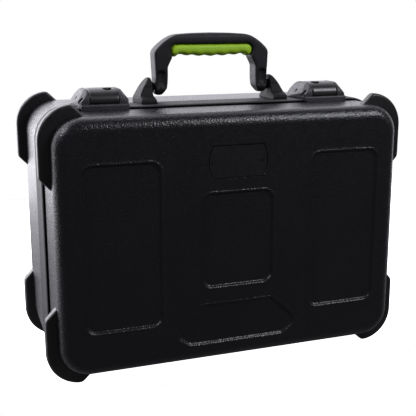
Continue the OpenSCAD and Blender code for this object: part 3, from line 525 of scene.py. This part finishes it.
# Recesses of the front face: places are from the middle of the case
SIDE_PANEL = (137.0, 0.0, 43.5, 94.5, 11.0)     # x, z, half width, half height, radius
MID_PANEL = (0.0, -0.5, 43.0, 55.0, 11.0)
FOOT_R = 9.0
FOOT_PANEL = [(-56.0, -115.3), (56.0, -115.3), (64.5, -109.5),
              (40.5, -87.5), (-40.5, -87.5), (-64.5, -109.5)]
BADGE_HALF_W, BADGE_HALF_H, BADGE_BOW, BADGE_Z, BADGE_GAP = 35.5, 18.25, 4.6, 91.0, 0.4
EDGE = 2.6            # width of a recess's soft slope
BADGE_EDGE = 1.2      # width of the slope round the badge
LIP = 0.45            # height of the soft lip round a recess
LIP_OUT = 2.3         # distance of the lip's crest from the recess's edge
LIP_HALF = 1.5        # half the lip's width
GRID_X = (43.0, 93.5, 180.5, 35.5, 66.0)        # edges of the recesses, for the mesh
GRID_Z = (94.5, 54.8, 109.3, 72.7)


def badge_distance(x, z):
    dz = z - BADGE_Z
    bow = BADGE_BOW * min(1, (dz / BADGE_HALF_H) ** 2)
    return max(abs(x) - (BADGE_HALF_W + BADGE_GAP - bow), abs(dz) - BADGE_HALF_H - BADGE_GAP)


def front_relief(x, z):
    """Depth of the moulded recesses behind the front face."""
    side = rounded_box_distance(abs(x) - SIDE_PANEL[0], z - SIDE_PANEL[1], *SIDE_PANEL[2:])
    middle = rounded_box_distance(x, z - MID_PANEL[1], *MID_PANEL[2:])
    foot = polygon_distance(x, z, FOOT_PANEL) - FOOT_R
    near = min(side, middle, foot)
    lip = LIP * max(0.0, 1 - ((near - LIP_OUT) / LIP_HALF) ** 2)
    depth = RECESS * ease(0.5 - near / EDGE) - lip
    badge = RECESS * ease(0.5 - badge_distance(x, z) / BADGE_EDGE)
    return depth + badge * (abs(depth) < 0.01)


def lid_shell():
    rim = [(-0.5, LID_RIM_Y), (-WALL + 0.5, LID_RIM_Y)]
    return pan("lid_shell_skin", FRONT_Y, LID_RIM_Y, FRONT_ROUND,
               lines(HALF_W, GRID_X), lines(HALF_H, GRID_Z), front_relief, rim, LID_STEP)


def base_shell():
    seen, step = BAND_SEEN_Y, band_low.y + 6
    rim = [(0, seen + 0.6), (-0.3, seen + 0.3), (-0.6, seen + 0.6), (-0.6, BAND_END_Y),
           (-2.3, BAND_END_Y), (-2.3, step), (-WALL, step)]
    return pan("base_shell_skin", REAR_Y, BAND_END_Y, REAR_ROUND,
               spread(-HALF_W, HALF_W, 12), spread(-HALF_H, HALF_H, 12), lambda x, z: 0, rim)


# --------------------------------------------------------------- bumpers

BUMP_T = 11.5         # width of a bumper
BUMP_R = 39.5         # its corner radius, outside
BUMP_EDGE = 3.2       # rounding of its edges
BUMP_SIDE = 79.5      # how far it reaches down the case's side
BUMP_SUNK = 3.9       # how deep its root lies in the shell's wall
BUMP_FRONT_Y = FRONT_Y + 24.9
BUMP_REAR_Y = REAR_Y - 11.5
FRONT_ROOT = -LID_STEP - DRAFT * (LID_RIM_Y - BUMP_FRONT_Y) - BUMP_SUNK
REAR_ROOT = -DRAFT * (BUMP_REAR_Y - BAND_END_Y) - BUMP_SUNK


def bumper_section(top, y, root):
    """Closed (u, y) section of a bumper whose outer face stands at u = top."""
    h = BUMP_T / 2
    r = max(0.05, min(BUMP_EDGE, (top - root) / 2.2))
    points = [(root, y - h)]
    for i in range(6):
        a = -math.pi / 2 + math.pi / 2 * i / 5
        points.append((top - r + r * math.cos(a), y - h + r + r * math.sin(a)))
    for i in range(6):
        a = math.pi / 2 * i / 5
        points.append((top - r + r * math.cos(a), y + h - r + r * math.sin(a)))
    points.append((root, y + h))
    return points


def bumper_stations(root):
    """(place of u = 0, outward direction, outer u) along a bumper at the corner +X +Z."""
    cx, cz = CASE_W / 2 + BUMP - BUMP_R, CASE_H / 2 + BUMP - BUMP_R
    height = BUMP - root
    inner_r = BUMP_R - BUMP
    turns = 32
    out = []
    for s in spread(-height, 0, 1.0)[:-1]:
        out.append(((cx + s, CASE_H / 2), (0, 1), BUMP + soft_end(s, height)))
    for i in range(turns + 1):
        a = math.pi / 2 * (1 - i / turns)
        arc = BUMP_R * math.pi / 2 * i / turns
        out.append(((cx + inner_r * math.cos(a), cz + inner_r * math.sin(a)),
                    (math.cos(a), math.sin(a)), BUMP + soft_end(arc, height)))
    low = CASE_H / 2 - BUMP_SIDE + root
    for z in spread(cz, low, 1.5)[1:]:
        out.append(((CASE_W / 2, z), (1, 0), BUMP + soft_end(z - low - height, height)))
    return out


def soft_end(s, height, blend=1.6):
    """0 along the bumper, and falls at 45 degrees past s = 0, with a rounded knee."""
    fall = min(0.0, s)
    knee = blend * math.exp(-abs(s) / blend) * 0.5
    return max(fall - knee, -height + 0.2)


def bumper(y, root, sx, sz):
    verts = []
    stations = bumper_stations(root)
    for (px, pz), (dx, dz), top in stations:
        for u, sy in bumper_section(top, y, root):
            verts.append((sx * (px + u * dx), sy, MID_Z + sz * (pz + u * dz)))
    n = len(bumper_section(BUMP, y, root))
    faces = tube_faces(len(stations), n) + [cap(0, n), cap(len(stations) - 1, n)]
    return verts, faces


def four_bumpers(name, y, root):
    verts, faces = [], []
    for sx in (-1, 1):
        for sz in (-1, 1):
            v, f = bumper(y, root, sx, sz)
            faces += [tuple(i + len(verts) for i in face) for face in f]
            verts += v
    return new_object(name, verts, faces, MATS["bumper"], 50)


# ---------------------------------------------------------------- rim bands

RIDGES = 5
RIDGE = ((0, -0.9), (-0.18, -0.55), (-0.55, -0.25), (-0.55, 0.25), (-0.18, 0.55), (0, 0.9))
TONGUE_U = -GROOVE - 2.3        # middle of the base's tongue and of the groove that takes it


def ring(name, section, material, smooth):
    """Closed (u, y) section run round the case's outline."""
    xs, zs = spread(-HALF_W, HALF_W, 60), spread(-HALF_H, HALF_H, 60)
    verts, faces = [], []
    for u, y in section:
        verts += [(x, sy, z + MID_Z) for x, sy, z in rounded_loop(CORNER_R + u, y, xs, zs, 24)]
    n = len(verts) // len(section)
    m = len(section)
    for k in range(m):
        for i in range(n):
            j = (i + 1) % n
            k2 = (k + 1) % m
            faces.append((k * n + i, k * n + j, k2 * n + j, k2 * n + i))
    return new_object(name, verts, faces, material, smooth)


def base_band():
    """Ridged band with a rounded front bead, its inner leg and the sealing tongue."""
    front = band_low.y + 2
    strip = front + 3
    width = BAND_SEEN_Y - strip
    nose = front - 3
    outer = [(-1.6, nose), (-1.1, nose + 0.4), (-0.5, nose + 1.8), (-0.15, nose + 3.6), (0, strip)]
    for i in range(RIDGES):
        y = strip + width * (i + 0.5) / (RIDGES + 0.5)
        outer += [(u, y + dy) for u, dy in RIDGE]
    outer += [(0, BAND_SEEN_Y - 0.4), (-0.4, BAND_SEEN_Y), (-0.7, BAND_SEEN_Y + 1),
              (-0.7, BAND_END_Y)]
    inner = [(-2.2, BAND_END_Y), (-2.2, strip + 2.4), (-WALL - 0.1, strip + 2.4),
             (-WALL - 0.1, strip + 14.4), (-LEG_IN, strip + 14.4), (-LEG_IN, strip + 2.4),
             (RIM_IN, strip + 2.4), (RIM_IN, front),
             (TONGUE_U - 0.6, front), (TONGUE_U - 0.6, front - 1.8),
             (TONGUE_U - 0.4, front - 2), (TONGUE_U + 0.4, front - 2),
             (TONGUE_U + 0.6, front - 1.8), (TONGUE_U + 0.6, front),
             (-GROOVE - 0.3, front), (-GROOVE, front + 0.3), (-GROOVE, strip - 0.6),
             (-2.6, strip - 1.6), (-2.2, nose + 0.4)]
    return ring("base_rim_band", outer + inner, MATS["band"], 30)


def lid_lip():
    """The lid's rim extrusion, with the groove for the tongue."""
    seam = lip_high.y
    u0, u1 = RIM_IN + 2.4, RIM_IN
    g0, g1 = TONGUE_U + 1.1, TONGUE_U - 1.1
    section = [(-GROOVE, LID_RIM_Y), (-GROOVE, seam - 0.3), (-GROOVE - 0.3, seam), (g0, seam),
               (g0, seam - 2.6), (g1, seam - 2.6), (g1, seam), (u1 + 0.3, seam), (u1, seam - 0.3),
               (u1, lip_low.y + 0.3), (u1 + 0.3, lip_low.y), (u0 - DRAFT * 12, lip_low.y),
               (u0, LID_RIM_Y)]
    return ring("lid_rim_lip", section, MATS["lip"], 30)


finished(lid_shell(), "lid", "shell", "lid_shell")
finished(four_bumpers("lid_bumpers", BUMP_FRONT_Y, FRONT_ROOT), "lid", "shell")
finished(base_shell(), "base", "shell", "base_shell")
finished(four_bumpers("base_bumpers", BUMP_REAR_Y, REAR_ROOT), "base", "shell")
finished(base_band(), "base", "valance", "base_valance")
finished(lid_lip(), "lid", "valance", "lid_valance")

# ------------------------------------------------------------------- foam

CRATE_PITCH = 25.0    # from one wave of the lid's foam to the next
CRATE_DEEP = 4.6
CRATE_GRID = 3.1      # mesh of the waves


def lid_foam():
    """Foam with moulded waves, in the lid; its surface faces the microphones."""
    low, high = span("lid_foam")
    edge = min(high.x - CASE_W / 2, -(CASE_H / 2 - (high.z - low.z) / 2))

    def waves(x, z):
        corner = math.hypot(max(0, abs(x) - HALF_W), max(0, abs(z) - HALF_H))
        near = (CORNER_R + edge) - corner
        swell = math.cos(2 * math.pi * x / CRATE_PITCH) * math.cos(2 * math.pi * z / CRATE_PITCH)
        return -CRATE_DEEP * (0.5 - 0.5 * swell) * ease((near - 1.5) / 10)

    side = [(edge - 3 + 3 * math.sin(a), high.y - 3 + 3 * math.cos(a))
            for a in spread(0, math.pi / 2, 0.3)]
    side += [(edge, low.y + 8), (edge - 3, low.y + 4), (edge - 6, low.y + 0.1)]
    xs, zs = spread(-HALF_W, HALF_W, CRATE_GRID), spread(-HALF_H, HALF_H, CRATE_GRID)
    return slab("lid_wave_foam", high.y, 3.0, side, xs, zs, waves, MATS["lid_foam"])


def padded(obj, node):
    finished(obj, "lid" if node == "lid_foam" else "base", "foam", node)


padded(lid_foam(), "lid_foam")
for i in range(1, 6):
    padded(soften(f"mic_foam_{i}", f"foam_block_{i}", MATS["foam"], 2.0, 7), f"mic_foam_{i}")
padded(soften("accessory_foam", "foam_frame", MATS["foam"], 2.2, 7), "accessory_foam")
padded(soften("base_foam_pad", "foam_pad", MATS["foam"], 2.4, 4), "base_foam_pad")

# -------------------------------------------------------------- small parts

GRIP_PITCH = 15.5     # from one finger's wave to the next
GRIP_WAVE = 0.7
GRIP_BOW = 0.0013     # how the underside rises away from the middle, per millimetre squared
GRIP_END = 7.4        # length of a rounded end
GRIP_BELLY = 41       # from here to the ends the underside falls to its lowest line
GRIP_TURNS = 40
TOP_POWER, LOW_POWER = 0.62, 0.85     # 1 is an ellipse, less is squarer


def handle_grip():
    """Soft grip with a crowned front and finger waves round its underside."""
    low, high = span("handle_grip")
    half, cy, half_y = high.x, (low.y + high.y) / 2, (high.y - low.y) / 2
    straight = half - GRIP_END
    stations = [straight + GRIP_END * math.sin(a) for a in spread(0, math.pi / 2 * 0.985, 0.11)]
    xs = [-x for x in stations[:0:-1]] + spread(-straight, straight, 1.0) + stations[1:]
    verts = []
    for x in xs:
        past = max(0.0, abs(x) - straight) / GRIP_END
        full = math.sqrt(max(0.0, 1 - past * past))
        wave = GRIP_WAVE * math.cos(2 * math.pi * x / GRIP_PITCH) * ease((half - 6 - abs(x)) / 6)
        bottom = min(low.z + 1.2 + GRIP_BOW * x * x * 0.9 - wave * 0.9, low.z + 3.2)
        bottom += (low.z + 0.2 - bottom) * ease((abs(x) - GRIP_BELLY) / 6)
        half_z = (high.z - bottom) / 2
        cz = high.z - half_z
        for i in range(GRIP_TURNS):
            a = 2 * math.pi * i / GRIP_TURNS
            c, t = math.cos(a), math.sin(a)
            power = TOP_POWER if t > 0 else LOW_POWER
            py = math.copysign(abs(c) ** (power * 0.9), c) * half_y * (0.35 + 0.65 * full)
            pz = math.copysign(abs(t) ** power, t) * half_z * full
            swell = max(0.0, -t) * abs(c) * wave * 0.5
            verts.append((x, cy + py + math.copysign(swell, c) * full, cz + pz))
    verts = [tuple(min(max(v[k], low[k]), high[k]) for k in range(3)) for v in verts]
    ends = [cap(0, GRIP_TURNS), cap(len(xs) - 1, GRIP_TURNS)]
    faces = tube_faces(len(xs), GRIP_TURNS) + ends
    return new_object("handle_soft_grip", verts, faces, MATS["grip"], 70)


def softened(node, name, slot, voxel, passes, body):
    finished(soften(node, name, MATS[slot], voxel, passes), body, slot, node)


for side in ("left", "right"):
    for node, name, slot, passes, body in (
            ("latch_housing", "latch_body", "latch", 10, "base"),
            ("latch_lever", "latch_flap", "lever", 40, f"lever_{side}"),
            ("latch_keeper", "keeper", "latch", 14, "lid"),
            ("handle_bracket", "bracket", "bracket", 10, "base")):
        softened(f"{node}_{side}", f"{name}_{side}", slot, 0.5, passes, body)
softened("handle_bail", "handle_frame", "handle", 0.9, 36, "handle")
finished(handle_grip(), "handle", "grip", "handle_grip")

DARK = ("latch_lever_pins", "lock_core", "keeper_screws", "badge_screws", "handle_pins")


def look_of(node, slot):
    """Key of the material that a node wears."""
    if node.startswith("latch_keeper"):
        return "latch"
    if node.startswith(DARK):
        return "black_pin"
    return "lip" if slot == "valance" else slot


for part in frame["record"]["subparts"]:
    materials = nodes[part["node"]].data.materials
    materials.clear()
    materials.append(MATS[look_of(part["node"], part["material_slot"])])

# --------------------------------------------------------- floor and light

# Places, sizes and reaches below are metres
FLOOR_REACH = 0.9
FLOOR_FRONT = -0.115  # just in front of the case, so that the open lid hangs past the floor
AIM = Vector((0, 0, 0.25))
LIGHT_TINT = (0.93, 0.94, 1)
ROOM_TINT = (0.94, 0.93, 1, 1)
WHITE = (1, 1, 1, 1)
ROOM_LEAST = 0.125    # light from the room's darkest side


def stage_floor():
    far, front = FLOOR_REACH, FLOOR_FRONT
    corners = [(-far, front, 0), (far, front, 0), (far, far, 0), (-far, far, 0)]
    mesh = bpy.data.meshes.new("floor")
    mesh.from_pydata(corners, [], [(0, 1, 2, 3)])
    obj = bpy.data.objects.new("floor", mesh)
    scene.collection.objects.link(obj)
    m = Material("pale_floor")
    m.shader.inputs["Base Color"].default_value = (0.22, 0.22, 0.22, 1)
    m.shader.inputs["Roughness"].default_value = 0.9
    m.shader.inputs["Alpha"].default_value = 0.6
    mesh.materials.append(m.mat)
    obj.is_shadow_catcher = True


def area_light(name, place, size, watts):
    light = bpy.data.lights.new(name, "AREA")
    light.shape = "RECTANGLE"
    light.size = light.size_y = size
    light.energy = watts
    light.color = LIGHT_TINT
    obj = bpy.data.objects.new(name, light)
    obj.location = place
    obj.rotation_euler = (AIM - Vector(place)).to_track_quat("-Z", "Y").to_euler()
    scene.collection.objects.link(obj)


def studio_world():
    """Room that lights most from behind and from the left, and little from below.

    The camera itself sees it plain white.
    """
    world = bpy.data.worlds.new("studio")
    w = Tree(world)
    axes = w.add("SeparateXYZ")
    w.link(w.add("TexCoord").outputs["Generated"], axes.inputs[0])
    back = w.span(axes.outputs["Y"], -0.1, 0.6, 0.03, 1.5, "SMOOTHSTEP")
    left = w.span(axes.outputs["X"], 0.2, -0.3, 1.0, 3.3)
    low = w.span(axes.outputs["Z"], -0.3, -0.12, 0.15, 1.0)
    level = w.combine("MULTIPLY", w.combine("MULTIPLY", back, left), low)
    level = w.combine("MAXIMUM", level, ROOM_LEAST)
    seen = w.add("LightPath").outputs["Is Camera Ray"]
    background = w.tree.nodes["Background"]
    w.link(w.mix("RGBA", seen, ROOM_TINT, WHITE), background.inputs["Color"])
    w.link(w.mix("FLOAT", seen, level, 1.0), background.inputs["Strength"])
    scene.world = world


stage_floor()
studio_world()
area_light("right_soft", (1.0, -1.2, 1.3), 0.6, 19)
area_light("left_soft", (-1.15, -0.35, 1.35), 0.22, 11)
scene.view_settings.view_transform = "Standard"
